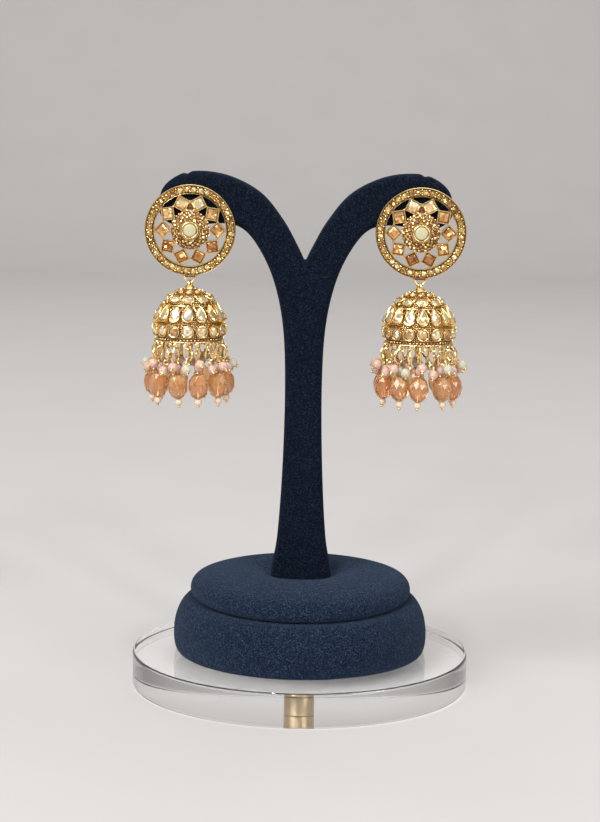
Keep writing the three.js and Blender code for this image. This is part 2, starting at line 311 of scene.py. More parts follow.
def tilted(places, rng, degrees):
    """Places with their Z turned by a small seeded angle about their own X and Y."""
    angle = np.radians(rng.uniform(-degrees, degrees, (len(places), 2)))
    turn = np.tile(np.eye(4), (len(places), 1, 1))
    turn[:, 0, 2], turn[:, 1, 2] = angle[:, 0], angle[:, 1]
    turn[:, 2, 0], turn[:, 2, 1] = -angle[:, 0], -angle[:, 1]
    return places @ turn


def shift(x=0.0, y=0.0, z=0.0):
    """A place that is only moved."""
    matrix = np.eye(4)
    matrix[:3, 3] = x, y, z
    return matrix


def turn_about(axis, degrees):
    """A place that is only turned about an axis through the origin."""
    return np.array(Matrix.Rotation(math.radians(degrees), 4, axis))


# ---------------------------------------------------------------- shader maths


class Value:
    """A shader socket, on which + - * and ** add Math nodes."""

    def __init__(self, finish, socket):
        self.finish, self.socket = finish, socket

    def _math(self, operation, first, second):
        return self.finish.node("ShaderNodeMath", {"operation": operation}, {0: first, 1: second})

    def __add__(self, other):
        return self._math("ADD", self, other)

    def __sub__(self, other):
        return self._math("SUBTRACT", self, other)

    def __mul__(self, other):
        return self._math("MULTIPLY", self, other)

    def __pow__(self, other):
        return self._math("POWER", self, other)

    def __radd__(self, other):
        return self._math("ADD", other, self)

    def __rsub__(self, other):
        return self._math("SUBTRACT", other, self)

    def __rmul__(self, other):
        return self._math("MULTIPLY", other, self)

    def __rpow__(self, other):
        return self._math("POWER", other, self)


class Finish:
    """A material: a Principled shader with constants set on its sockets, and nodes added by name."""

    def __init__(self, name, constants):
        self.name = name
        self.material = bpy.data.materials.new(name)
        self.material.use_nodes = True
        self.tree = self.material.node_tree
        self.shader = self.tree.nodes["Principled BSDF"]
        for label, value in constants.items():
            self.shader.inputs[label].default_value = value

    def node(self, kind, settings=(), sockets=(), output=0):
        """A node of a kind, its settings first, then the values or links of its sockets."""
        made = self.tree.nodes.new(kind)
        for key, value in dict(settings).items():
            if key == "stops":
                self._stops(made.color_ramp, value)
            else:
                setattr(made, key, value)
        for key, value in dict(sockets).items():
            self._put(made.inputs[key], value)
        return Value(self, made.outputs[output])

    def _stops(self, ramp, stops):
        while len(ramp.elements) < len(stops):
            ramp.elements.new(0.5)
        for element, (position, colour) in zip(ramp.elements, stops):
            element.position = position
            element.color = (*colour, 1)

    def _put(self, socket, value):
        if isinstance(value, Value):
            self.tree.links.new(value.socket, socket)
        elif value is not None:
            socket.default_value = value

    def feed(self, **links):
        """Links to the shader, with Base_Color for its Base Color."""
        for label, value in links.items():
            self._put(self.shader.inputs[label.replace("_", " ")], value)

    def coordinates(self):
        return self.node("ShaderNodeTexCoord", output="Object")

    def tint(self):
        return self.node("ShaderNodeAttribute", {"attribute_name": "tint"}, output="Fac")

    def noise(self, size_mm, detail=2.0, roughness=0.5, vector=None):
        """Noise whose grains are about the size given."""
        sockets = {"Vector": vector or self.coordinates(), "Scale": 1 / (size_mm * MM), "Detail": detail,
                   "Roughness": roughness}
        return self.node("ShaderNodeTexNoise", (), sockets)

    def cells(self, size_mm, output="Distance"):
        """Voronoi cells of about the size given."""
        sockets = {"Vector": self.coordinates(), "Scale": 1 / (size_mm * MM)}
        return self.node("ShaderNodeTexVoronoi", (), sockets, output)

    def mixed(self, share, first, second):
        """A colour between two, by a share from 0 to 1."""
        settings = {"data_type": "RGBA", "clamp_factor": True}
        return self.node("ShaderNodeMix", settings, {0: share, 6: first, 7: second}, 2)

    def ramp(self, value, stops):
        """A colour for each value, through stops of (position, colour)."""
        return self.node("ShaderNodeValToRGB", {"stops": stops}, {"Fac": value})

    def bump(self, height, depth_mm, strength=1.0):
        sockets = {"Height": height, "Distance": depth_mm * MM, "Strength": strength}
        return self.node("ShaderNodeBump", (), sockets)

    def openness(self, reach_mm):
        """How much of the surroundings a point sees within a reach: 0 in a recess, 1 in the open."""
        settings = {"samples": 6}
        return self.node("ShaderNodeAmbientOcclusion", settings, {"Distance": reach_mm * MM}, "AO")

    def open_to_lamps(self, colour):
        """Rays from lamps pass straight through, times the colour. All others meet the shader."""
        clear = self.node("ShaderNodeBsdfTransparent", (), {"Color": colour})
        lamp_ray = self.node("ShaderNodeLightPath", output="Is Shadow Ray")
        shader = Value(self, self.shader.outputs[0])
        both = self.node("ShaderNodeMixShader", (), {0: lamp_ray, 1: shader, 2: clear})
        self._put(self.tree.nodes["Material Output"].inputs["Surface"], both)

    def tilted_normal(self, directions, tilt):
        """The surface's normal leaned by directions from 0 to 1, less a half, times the tilt."""
        normal = self.node("ShaderNodeNewGeometry", output="Normal")
        half = (0.5, 0.5, 0.5)
        centred = self.node("ShaderNodeVectorMath", {"operation": "SUBTRACT"}, {0: directions, 1: half})
        leant = self.node("ShaderNodeVectorMath", {"operation": "SCALE"}, {0: centred, "Scale": tilt})
        both = self.node("ShaderNodeVectorMath", {"operation": "ADD"}, {0: normal, 1: leant})
        return self.node("ShaderNodeVectorMath", {"operation": "NORMALIZE"}, {0: both})


def rgb(red, green, blue):
    return (red, green, blue, 1.0)


def antique_gold():
    """Gold plate, darkened in its recesses and slightly uneven in polish."""
    made = Finish("antique_gold", {"Metallic": 1.0})
    open_share = made.openness(0.45) ** 1.1
    pale, warm = rgb(1.0, 0.79, 0.395), rgb(0.96, 0.67, 0.265)
    polished = made.mixed(made.noise(1.6, 3.0), pale, warm)
    made.feed(Base_Color=made.mixed(open_share, rgb(0.29, 0.15, 0.042), polished))
    made.feed(Roughness=0.17 + 0.12 * made.noise(0.4, 3.0) + 0.18 * (1 - open_share))
    made.feed(Normal=made.bump(made.noise(0.4, 3.0), 0.035, 0.7))
    return made


def recessed_gold():
    """The ground between the settings: dark, granular, reddish brown."""
    made = Finish("recessed_gold", {"Metallic": 0.6})
    open_share = made.openness(1.2) ** 1.2
    grain = made.cells(0.5)
    ground = made.mixed(grain, rgb(0.55, 0.25, 0.08), rgb(0.12, 0.03, 0.013))
    made.feed(Base_Color=made.mixed(open_share, rgb(0.045, 0.011, 0.006), ground))
    made.feed(Roughness=0.3 + 0.3 * grain)
    made.feed(Normal=made.bump(1 - grain, 0.15))
    return made


def stone_finish(name, stops, roughness, metallic, facet_mm, tilt):
    """Foil-backed glass: small inner facets, each tilted its own way, mirror the room in the stone's
    colour, which goes by its tint and a little by the facet."""
    made = Finish(name, {"Metallic": metallic, "IOR": 1.55, "Coat Weight": 0.5, "Coat Roughness": 0.03})
    cell = made.cells(facet_mm, "Color")
    length = made.node("ShaderNodeVectorMath", {"operation": "LENGTH"}, {0: cell}, "Value")
    made.feed(Base_Color=made.ramp(made.tint() + 0.55 * (length - 0.95), stops))
    made.feed(Roughness=roughness + 0.1 * made.noise(0.6, 2.0))
    made.feed(Normal=made.tilted_normal(cell, tilt))
    return made


STONES = (
    # name, stops of tint and colour, roughness, metallic, facet in mm, tilt
    ("champagne_stone", [(0.0, (0.24, 0.11, 0.025)), (0.4, (0.66, 0.42, 0.135)),
                         (0.75, (0.95, 0.73, 0.345)), (1.0, (1.0, 0.91, 0.63))], 0.08, 0.85, 0.6, 0.6),
    ("peach_stone", [(0.0, (0.25, 0.08, 0.02)), (0.4, (0.60, 0.285, 0.09)),
                     (0.7, (0.88, 0.60, 0.28)), (1.0, (1.0, 0.88, 0.58))], 0.1, 0.7, 0.9, 0.5),
    ("clear_stone", [(0.0, (0.38, 0.17, 0.07)), (0.35, (0.76, 0.49, 0.22)),
                     (0.68, (1.0, 0.82, 0.48)), (1.0, (1.0, 0.94, 0.74))], 0.06, 0.7, 1.2, 0.45),
)


def amber_glass():
    """Warm glass whose colour deepens in patches."""
    made = Finish("amber_glass", {"Transmission Weight": 0.82, "IOR": 1.5, "Coat Weight": 0.6,
                                  "Coat Roughness": 0.03, "Specular IOR Level": 0.7})
    cloud = made.noise(2.4, 2.0)
    made.feed(Base_Color=made.ramp(cloud, [(0.32, (0.84, 0.40, 0.14)), (0.68, (1.0, 0.68, 0.38))]))
    made.feed(Roughness=0.04 + 0.08 * made.noise(1.0, 2.0))
    return made


def bead_finish(name, shade, light, transmission):
    """Milky glass with pale veins."""
    made = Finish(name, {"Transmission Weight": transmission, "Subsurface Weight": 0.2,
                         "Subsurface Scale": 0.5 * MM, "Coat Weight": 0.35, "Coat Roughness": 0.2})
    made.feed(Base_Color=made.mixed(made.noise(0.8, 3.0), shade, light))
    made.feed(Roughness=0.3 + 0.2 * made.noise(0.4, 2.0))
    return made


BEADS = (
    # name, shade, light, transmission
    ("pink_bead", rgb(0.66, 0.37, 0.275), rgb(0.84, 0.61, 0.505), 0.2),
    ("mint_bead", rgb(0.49, 0.47, 0.34), rgb(0.70, 0.68, 0.54), 0.15),
    ("pearl", rgb(0.62, 0.45, 0.31), rgb(0.84, 0.70, 0.54), 0.0),
    ("mint_cabochon", rgb(0.46, 0.42, 0.23), rgb(0.57, 0.53, 0.34), 0.0),
)


def velvet(name, light):
    """Short navy pile: specks of light and dark fibre, a soft sheen, and brushed patches. Light scales
    its brightness. Below 1 it paints shade into the colour, as on the neck, whose pile lies the other way
    and looks nearly black."""
    made = Finish(name, {"Specular IOR Level": 0.06, "Sheen Weight": 0.12 * light, "Sheen Roughness": 0.4,
                         "Sheen Tint": rgb(0.40, 0.58, 0.85), "Roughness": 0.95})
    fibre = made.noise(0.4, 3.0, 0.75)
    tuft = made.noise(1.2, 2.0)
    brushed = made.noise(14.0, 2.0)
    colours = [(0.0012, 0.0024, 0.0065), (0.0080, 0.0150, 0.0335), (0.062, 0.092, 0.150),
               (0.0115, 0.0215, 0.0455)]
    deep, middle, tip, worn = np.array(colours) * light
    speck = made.ramp(fibre + 0.14 * (tuft - 0.5), [(0.37, deep), (0.52, middle), (0.70, tip)])
    made.feed(Base_Color=made.mixed(0.45 * brushed, speck, rgb(*worn)))
    made.feed(Normal=made.bump(fibre + 0.8 * tuft, 0.4, 1.0))
    return made


def clear_acrylic():
    """Clear plate that lets the lamps light what stands behind and under it."""
    made = Finish("clear_acrylic", {"Transmission Weight": 1.0, "IOR": 1.49,
                                    "Base Color": rgb(0.99, 0.995, 0.995)})
    made.feed(Roughness=0.01 * made.noise(6.0, 2.0))
    made.open_to_lamps(rgb(0.90, 0.90, 0.90))
    return made


def brass():
    """Satin champagne brass with fine turning marks."""
    made = Finish("champagne_brass", {"Metallic": 1.0})
    squeeze = made.node("ShaderNodeMapping", (), {"Vector": made.coordinates(), "Scale": (1.0, 1.0, 12.0)})
    marks = made.noise(2.0, 3.0, vector=squeeze)
    made.feed(Base_Color=made.mixed(marks, rgb(0.62, 0.47, 0.27), rgb(0.80, 0.66, 0.44)))
    made.feed(Roughness=0.28 + 0.14 * marks)
    return made


def pale_floor():
    made = Finish("pale_floor", {"Roughness": 0.9, "Specular IOR Level": 0.1})
    made.feed(Base_Color=made.mixed(made.noise(60.0, 2.0), rgb(0.50, 0.48, 0.47), rgb(0.53, 0.51, 0.50)))
    return made


# The neck's copy of the navy velvet is drawn at 0.42 of its brightness: painted shade, not another cloth.
FINISHES = {made.name: made.material for made in (
    antique_gold(), recessed_gold(), *(stone_finish(*row) for row in STONES), amber_glass(),
    *(bead_finish(*row) for row in BEADS), velvet("navy_velvet", 1.0), velvet("deep_velvet", 0.42),
    clear_acrylic(), brass(), pale_floor())}

# ---------------------------------------------------------------- making a piece

SHARP = math.radians(38)


def make_piece(name, shape, body, slot, *nodes):
    """A mesh of the shape in metres, riding on a body in place of the nodes."""
    mesh = bpy.data.meshes.new(name)
    sizes = (shape.faces >= 0).sum(1)
    corners = shape.faces[shape.faces >= 0]
    mesh.vertices.add(len(shape.points))
    mesh.vertices.foreach_set("co", (shape.points * MM).ravel())
    mesh.loops.add(len(corners))
    mesh.loops.foreach_set("vertex_index", corners)
    mesh.polygons.add(len(sizes))
    mesh.polygons.foreach_set("loop_start", np.concatenate([[0], np.cumsum(sizes)[:-1]]))
    names, index = np.unique(shape.finish, return_inverse=True)
    for label in names:
        mesh.materials.append(FINISHES[label])
    mesh.polygons.foreach_set("material_index", index.ravel())
    mesh.attributes.new("tint", "FLOAT", "POINT").data.foreach_set("value", shape.tint)
    mesh.update(calc_edges=True)
    mesh.validate()
    mesh.set_sharp_from_angle(angle=SHARP)
    mesh.polygons.foreach_set("use_smooth", shape.smooth)
    piece = bpy.data.objects.new(name, mesh)
    bpy.context.scene.collection.objects.link(piece)
    if body is None:
        return piece
    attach(piece, body)
    if nodes:
        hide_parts(*nodes)
    return piece


# ---------------------------------------------------------------- stand


def acrylic_plate():
    """The clear disc with bevelled edges, and a narrow band beside each bevel that keeps the flat faces
    and the wall flatly shaded. The pin is bonded into it, so it is drawn without its bore."""
    radius, _, height = node_box("acrylic_plate")[1]
    bevel, nick, band = 0.45, 0.13, 0.3
    face, wall = radius - bevel, height - bevel
    profile = [(0, 0), (face - band, 0), (face, 0), (radius - nick, nick), (radius, bevel),
               (radius, bevel + band), (radius, wall - band), (radius, wall),
               (radius - nick, height - nick), (face, height), (face - band, height), (0, height)]
    shape = turned(profile, 256, "clear_acrylic")
    return make_piece("acrylic_plate_clear", shape, "stand", "clear_acrylic", "acrylic_plate")


def foot_pin():
    """A turned pin with chamfered ends and a fine groove where its two lengths meet."""
    radius, _, top = node_box("foot_pin")[1]
    chamfer, groove, foot, middle = 0.1, 0.16, 0.03, 5.6
    profile = [(0, foot), (radius - chamfer, foot), (radius, foot + chamfer), (radius, middle - groove),
               (radius - groove, middle), (radius, middle + groove), (radius, top - chamfer),
               (radius - chamfer, top), (0, top)]
    shape = turned(profile, 64, "champagne_brass")
    return make_piece("foot_pin_brass", shape, "stand", "brass_pin", "foot_pin")


def uneven(angle, rng, waves, depth):
    """A sum of cosines round a circle with seeded heights and phases."""
    total = np.zeros_like(angle)
    for wave in waves:
        total += rng.uniform(0.4, 1.0) * np.cos(wave * angle + rng.uniform(0, 2 * np.pi))
    return depth * total / len(waves)


def cushion(name, node, profile, seed, swell, sag, hold):
    """A profile turned round Z whose radius swells by slow waves, most where the profile bulges, and
    whose rim sags at the front by sag (radius / R)^2 cos(angle)^1.5, at its foot by a share of that."""
    rng = np.random.default_rng(seed)
    profile = rounded(profile, 3)
    count = 192
    angle = circle(count)
    radius, height = profile.T[:, :, None]
    middle = (height - height.min()) / np.ptp(height)
    soft = np.sin(np.pi * np.clip(middle, 0, 1))
    slow = uneven(angle, rng, (2, 3, 5), swell)[None] * soft
    puckers = uneven(angle, rng, (23, 31, 44), 0.09)[None] * (1 - soft) ** 2
    puckers = puckers * (radius > 0.8 * radius.max())
    outwards = radius / radius.max()
    radius = np.where(radius > 0, radius + (slow + puckers) * outwards ** 2, 0)
    height = height + uneven(angle, rng, (1, 2, 3), 0.12)[None] * soft
    front = np.clip(np.cos(angle), 0, 1)[None] ** 1.5
    height = height - sag * outwards ** 2 * front * (hold + (1 - hold) * middle)
    points = round_z(radius, angle, height)
    shape = surface(points, "navy_velvet", (False, True), (True, True))
    piece = make_piece(name, shape, "stand", "navy_velvet", node)
    return piece


def base_cushion():
    """The large cushion: a profile that bulges low on its side and rounds over to a flat top."""
    low, high = node_box("base_cushion")
    bottom, top, radius = low[2] + 0.02, high[2], high[0]
    profile = [(0, bottom), (radius - 1.7, bottom), (radius - 0.8, bottom + 0.5),
               (radius - 0.15, bottom + 2.5), (radius, bottom + 4.8), (radius - 0.1, bottom + 7.6),
               (radius - 0.7, bottom + 10.8), (radius - 1.9, bottom + 13.6), (radius - 3.6, top - 0.6),
               (radius - 5.6, top - 0.2), (0, top - 0.3)]
    return cushion("base_cushion_velvet", "base_cushion", profile, 3, 0.28, 1.3, 0.0)


def top_pad():
    """The thin pad: a rounded rim and a top that dips towards the neck."""
    low, high = node_box("top_pad")
    bottom, top, radius = low[2], high[2], high[0]
    profile = [(0, bottom), (radius - 2.2, bottom), (radius - 1.0, bottom + 0.05),
               (radius - 0.1, bottom + 1.0), (radius, bottom + 2.6), (radius - 0.6, bottom + 4.3),
               (radius - 2.6, bottom + 6.1), (radius - 8.5, top - 0.35), (radius - 15.5, top),
               (radius - 20.0, top - 0.5), (radius - 23.0, top - 1.5), (radius - 25.5, top - 2.0),
               (0, top - 2.0)]
    return cushion("top_pad_velvet", "top_pad", profile, 8, 0.16, 1.3, 1.0)


OUTER_EDGE = [
    # half width, height
    (8.9, 23.0), (8.9, 33.0), (7.2, 44.0), (5.9, 65.0), (5.4, 88.0), (6.1, 106.0), (8.6, 119.0),
    (12.6, 128.5), (17.8, 135.2), (24.0, 137.0), (32.0, 136.2),
]
TIP_AND_INNER_EDGE = [
    # half width, height
    (32.0, 136.2), (38.0, 136.3), (42.2, 139.6), (41.6, 146.6), (36.5, 150.9), (29.5, 151.8),
    (21.1, 150.1), (12.7, 145.4), (6.3, 137.6), (2.2, 130.3), (0.3, 126.4),
]
POST_X = 34.6


def smooth_line(rows, steps):
    """A Catmull-Rom curve through the rows: between rows b and c, with a before and d after them,
    ((2b) + (c - a) t + (2a - 5b + 4c - d) t^2 + (3b - a - 3c + d) t^3) / 2. It starts and ends level."""
    rows = np.asarray(rows, float)
    padded = np.concatenate([rows[:1], rows, rows[-1:]])
    a, b, c, d = (padded[k:k + len(rows) - 1, None] for k in range(4))
    t = (np.arange(steps) / steps)[None, :, None]
    bent = (2 * a - 5 * b + 4 * c - d) * t ** 2 + (3 * b - a - 3 * c + d) * t ** 3
    curve = (2 * b + (c - a) * t + bent) / 2
    return np.concatenate([curve.reshape(-1, 2), rows[-1:]])


def neck_outline():
    """The neck and both arms as one closed outline in X and Z, anticlockwise as seen from the back, with
    a nick in the velvet over each post: z is lowered by 0.55 exp(-((x - middle) / 0.8)^2)."""
    half = np.concatenate([smooth_line(OUTER_EDGE, 8), smooth_line(TIP_AND_INNER_EDGE, 14)[1:]])
    nick = 0.55 * np.exp(-((half[:, 0] - POST_X) / 0.8) ** 2)
    half[:, 1] -= np.where(half[:, 1] > 145, nick, 0)
    return np.concatenate([half, half[::-1] * (-1, 1)])


def stand_neck():
    """Rings of the outline, drawn in by e and set back by y, with e and y on a quarter circle at each
    edge, between a flat front and a flat back."""
    depth, edge = node_box("stand_neck")[1][1], 1.7
    outline = neck_outline()
    ahead = np.roll(outline, -1, 0) - np.roll(outline, 1, 0)
    outward = unit(np.stack([ahead[:, 1], -ahead[:, 0]], axis=1))
    corner = np.linspace(0, np.pi / 2, 6)
    inset = edge * (1 - np.concatenate([np.sin(corner), np.cos(corner)]))
    back = (depth - edge) + edge * np.cos(corner)
    level = np.concatenate([-back, back[::-1]])
    flat = outline[None] - inset[:, None, None] * outward[None]
    across = np.broadcast_to(level[:, None], flat.shape[:2])
    points = np.stack([flat[..., 0], across, flat[..., 1]], axis=-1)
    # The neck takes the darker copy of the navy velvet, whose colour holds painted shade.
    walls = surface(points, "deep_velvet")
    count = len(outline)
    ends = np.stack([np.arange(count)[::-1], np.arange(count) + count * (len(level) - 1)])
    faces = Shape(points, ends, "deep_velvet", False)
    piece = make_piece("stand_neck_velvet", join(walls, faces), "stand", "navy_velvet", "stand_neck")
    return piece


# ---------------------------------------------------------------- settings and stones

DIAMOND = np.array([(0, -1), (1, 0), (0, 1), (-1, 0)], float)


def tear_outline(half_width, half_length, count):
    """A teardrop, its point at +Y: x = sin(t) sin(t/2)^1.1, y = cos(t), scaled to its half sizes."""
    angle = circle(count)
    x = np.sin(angle) * np.sin(angle / 2) ** 1.1
    y = np.cos(angle)
    return np.stack([-half_width * x / x.max(), half_length * y], axis=1)


def leaf_outline(half_width, half_length, count):
    """A pointed leaf: x = sin(t) |sin(t)|^0.35, y = cos(t), scaled to its half sizes."""
    angle = circle(count)
    x = np.sin(angle) * np.abs(np.sin(angle)) ** 0.35
    return np.stack([-half_width * x, half_length * np.cos(angle)], axis=1)


def collet(outline, height, wall):
    """A setting's wall round a stone: up the outside, over a rounded lip, down to a floor."""
    lip = 1 - wall
    levels = [(0.94, -0.6), (0.98, 0.6 * height), (1.0, height - 0.05), (0.985, height + 0.06),
              ((1 + lip) / 2, height + 0.1), (lip, height + 0.03), (lip - 0.01, 0.35 * height)]
    return lofted(outline, levels, "antique_gold", smooth=True)


def cut_stone(outline, girdle, rise, table, finish):
    """A stone's outline from below its girdle, in over the crown to a flat table."""
    levels = [(0.8, girdle - 0.35), (1.0, girdle), ((1 + table) / 2 + 0.06, girdle + 0.62 * rise),
              (table, girdle + rise)]
    return lofted(outline, levels, finish)


def round_stone(radius, girdle, rise, finish, sides=8):
    """A brilliant: girdle, crown ring turned half a step, table."""
    profile = [(0.7 * radius, girdle - 0.3), (radius, girdle), (0.8 * radius, girdle + 0.6 * rise),
               (0.52 * radius, girdle + rise)]
    return faceted(profile, sides, finish)


# ---------------------------------------------------------------- ear disc

RIM_STONES = 36
SQUARES = 10
SQUARE = {"orbit": 7.95, "half_diagonal": 2.66, "height": 1.6}


def rim(rng):
    """The outer ring: a channel with two raised lips, stones in collets, and grains between them."""
    outer = DISC_RADIUS
    profile = rounded([(10.3, 0), (outer - 0.1, 0), (outer, 0.7), (outer - 0.02, 1.6), (outer - 0.2, 1.85),
                       (outer - 0.36, 1.55), (outer - 0.4, 0.9), (10.75, 0.9), (10.66, 1.5), (10.48, 1.8),
                       (10.33, 1.55), (10.28, 0.7)], 1, loop=True)
    floor = [(10.5, 0.7), (outer - 0.3, 0.7), (outer - 0.3, 1.05), (10.5, 1.05)]
    parts = [turned(profile, 160, "antique_gold", loop=True)]
    parts.append(turned(floor, 96, "recessed_gold", loop=True))
    middle, radius = 11.73, 0.84
    angles = circle(RIM_STONES) + np.pi / RIM_STONES
    seats = tilted(around(angles, middle + rng.uniform(-0.12, 0.12, RIM_STONES), 1.1), rng, 10)
    ring = turned(rounded([(radius - 0.08, 0), (radius + 0.12, 0), (radius + 0.12, 0.5), (radius, 0.64),
                           (radius - 0.1, 0.5)], 1, loop=True), 12, "antique_gold", loop=True)
    parts.append(ring.copies(seats))
    stone = round_stone(radius - 0.07, 0.42, 0.42, "champagne_stone")
    parts.append(stone.copies(seats, np.clip(rng.normal(0.5, 0.24, RIM_STONES), 0, 1)))
    between = angles + np.pi / RIM_STONES
    rows = ((middle - 0.62, 1.62, 0.3), (middle + 0.66, 1.66, 0.31), (middle, 1.5, 0.2))
    for orbit, level, size in rows:
        seats = tilted(around(between + rng.uniform(-0.012, 0.012, RIM_STONES), orbit, level), rng, 20)
        parts.append(ball(size, "antique_gold", 4, 7).copies(seats))
    return parts


def squares(rng):
    """Square settings set corner to corner, each with a stone cut in steps. The upper stones are paler."""
    angles = circle(SQUARES) + np.pi / SQUARES
    seats = around(angles, SQUARE["orbit"], 0.0)
    size = SQUARE["half_diagonal"]
    height = SQUARE["height"]
    levels = [(0.95, 0.15), (1.0, 0.3), (1.0, height), (0.975, height + 0.12), (0.85, height + 0.12),
              (0.825, height), (0.81, 0.9)]
    walls = lofted(DIAMOND * size, levels, "antique_gold")
    stone = cut_stone(DIAMOND * (0.785 * size), 1.15, 0.36, 0.62, "peach_stone")
    tints = np.clip(0.5 - 0.25 * np.cos(angles) + rng.uniform(-0.2, 0.2, SQUARES), 0.1, 0.95)
    bead = ball(0.3, "antique_gold", 4, 8)
    corners = SQUARE["orbit"] / math.cos(math.pi / SQUARES)
    return [walls.copies(seats), stone.copies(tilted(seats, rng, 7), tints),
            bead.copies(around(circle(SQUARES), corners, 1.3))]


PAVE = {"count": 66, "inner": 3.02, "outer": 5.3, "radius": 0.49, "grain": 0.27}
GOLDEN_ANGLE = math.pi * (3 - math.sqrt(5))


def rosette(rng):
    """A scalloped boss, radius (1 + 0.055 |cos 6 angle|) at its edge, under a collar for the centre stone.

    Its paving is spaced like sunflower seeds: each next stone turns by the golden angle, at the square
    root of inner^2 + (outer^2 - inner^2) share. Every fourth one is a pair of gold grains.
    """
    count, lobes = 144, 12
    angle = circle(count)
    profile = rounded([(0.0, 0.1), (5.2, 0.1), (5.4, 0.5), (5.35, 1.2), (5.05, 1.6), (4.2, 2.05),
                       (3.3, 2.45), (2.7, 2.6), (0.0, 2.6)], 1)
    radius, height = profile.T[:, :, None]
    scallop = 1 + 0.055 * np.abs(np.cos(lobes * angle / 2))[None] * np.clip((radius - 3.5) / 1.5, 0, 1)
    radius = radius * scallop
    points = round_z(radius, angle, height)
    boss = surface(points, "recessed_gold", (False, True), (True, True))
    number = np.arange(PAVE["count"])
    share = (number + 0.5) / PAVE["count"]
    orbit = np.sqrt(PAVE["inner"] ** 2 + (PAVE["outer"] ** 2 - PAVE["inner"] ** 2) * share)
    level = np.interp(orbit, (2.7, 3.3, 4.2, 5.05, 5.35), (2.6, 2.45, 2.05, 1.6, 1.2)) + 0.1
    turn = number * GOLDEN_ANGLE + rng.uniform(0, 1)
    seats = tilted(around(turn, orbit, level, 0.42), rng, 12)
    tints = np.clip(rng.normal(0.56, 0.28, PAVE["count"]), 0, 1)
    grains = number % 4 == 3
    stone = round_stone(PAVE["radius"], 0.05, 0.32, "champagne_stone")
    grain = ball(PAVE["grain"], "antique_gold", 4, 7)
    pairs = [grain.at(shift(x, 0.0, 0.1)) for x in (-0.26, 0.26)]
    edge = tilted(around(circle(36) + rng.uniform(0, 1), 5.5, 1.3, 0.42), rng, 12)
    hem = hoop(2.75, 2.85, 0.16, "antique_gold", 48, 6)
    collar = rounded([(1.98, 2.3), (2.4, 2.3), (2.5, 2.9), (2.56, 3.3), (2.44, 3.62), (2.2, 3.72),
                      (2.02, 3.6), (1.96, 3.3)], 1, loop=True)
    return [boss, stone.copies(seats[~grains], tints[~grains]), join(*pairs).copies(seats[grains]),
            ball(0.3, "antique_gold", 4, 7).copies(edge), hem,
            turned(collar, 48, "antique_gold", loop=True)]


def circle_outline(radius, count):
    """A circle of (x, y) rows, anticlockwise."""
    angle = circle(count)
    return np.stack([radius * np.sin(angle), -radius * np.cos(angle)], axis=1)


def crown_window():
    """The small framed triangle over the rosette, closed by a dark plate."""
    corners = np.array([(-1.8, 5.45, 1.35), (1.8, 5.45, 1.35), (0.0, 8.7, 1.35)])
    path = rounded(corners, 2, loop=True)
    frame_wire = wire(path, 0.28, "antique_gold", (0, 0, 1), 8, loop=True)
    plate = lofted(corners[:, :2] * (0.97, 1) - (0, 6.5), [(0.85, 0.5), (0.85, 0.9)], "recessed_gold")
    bar = wire([(-0.8, 5.75, 1.5), (0.0, 5.82, 1.6), (0.8, 5.75, 1.5)], 0.2, "antique_gold", (0, 0, 1), 6)
    return [frame_wire, plate.at(shift(y=6.5)), bar]


def bracket(hinge_drop):
    """Below the rim: a stout wire bent to a V with a rounded foot, on a small web."""
    top = -DISC_RADIUS + 0.3
    bottom = -hinge_drop
    half = [(1.85, top, 0.7), (1.6, 0.6 * top + 0.4 * bottom, 0.7), (1.0, 0.2 * top + 0.8 * bottom, 0.7),
            (0.35, bottom, 0.7)]
    rows = rounded([(-x, y, z) for x, y, z in half] + half[::-1], 2)
    web = np.array([(-1.85, top - 0.15), (-1.5, top - 0.75), (1.5, top - 0.75), (1.85, top - 0.15)])
    middle = web.mean(0)
    plate = lofted(web - middle, [(1.0, 0.45), (1.0, 0.75)], "recessed_gold").at(shift(*middle))
    feet = [shift(-1.9, top - 0.05, 0.75), shift(1.9, top - 0.05, 0.75)]
    return [wire(rows, 0.31, "antique_gold", (0, 0, 1), 10), plate,
            ball(0.5, "antique_gold", 5, 10).copies(feet)]


def ear_post(end):
    """A plain pin from the disc's back to its end behind the arm, with a solder pad at its root."""
    reach = end - DISC_BACK
    profile = [(0, -reach), (0.3, -reach), (0.48, -reach + 0.5), (0.48, -0.5), (1.2, -0.08), (1.2, 0.3),
               (0, 0.3)]
    return turned(profile, 24, "antique_gold").at(shift(y=4.6))


def disc_place(x):
    """The disc's own X, Y and Z as the stand's X, Z and -Y, with its back against the arm."""
    return place((x, DISC_BACK, DISC_HEIGHT), (1, 0, 0), (0, 0, 1), (0, -1, 0))[0]


def ear_disc(side, seed):
    rng = np.random.default_rng(seed)
    node = f"{side}_ear_disc"
    hinge = HINGES[side]
    parts = rim(rng) + squares(rng) + rosette(rng) + crown_window() + bracket(DISC_HEIGHT - hinge[2])
    parts.append(ear_post(node_box(node)[1][1]))
    shape = join(*parts).at(disc_place(hinge[0]))
    return make_piece(f"{side}_stone_disc", shape, "stand", "antique_gold", node)


def centre_stone(side):
    """A flat cabochon: a straight wall, a quarter-round shoulder and a slightly raised top."""
    shoulder = np.linspace(0, np.pi / 2, 6)
    wall = [(0, 2.2), (1.86, 2.2)]
    curve = [(1.36 + 0.52 * math.cos(a), 3.4 + 0.48 * math.sin(a)) for a in shoulder]
    profile = np.array(wall + curve + [(0.7, 3.95), (0, 4.0)])
    shape = turned(profile, 48, "mint_cabochon").at(disc_place(HINGES[side][0]))
    return make_piece(f"{side}_cabochon", shape, "stand", "mint_stone", f"{side}_centre_stone")


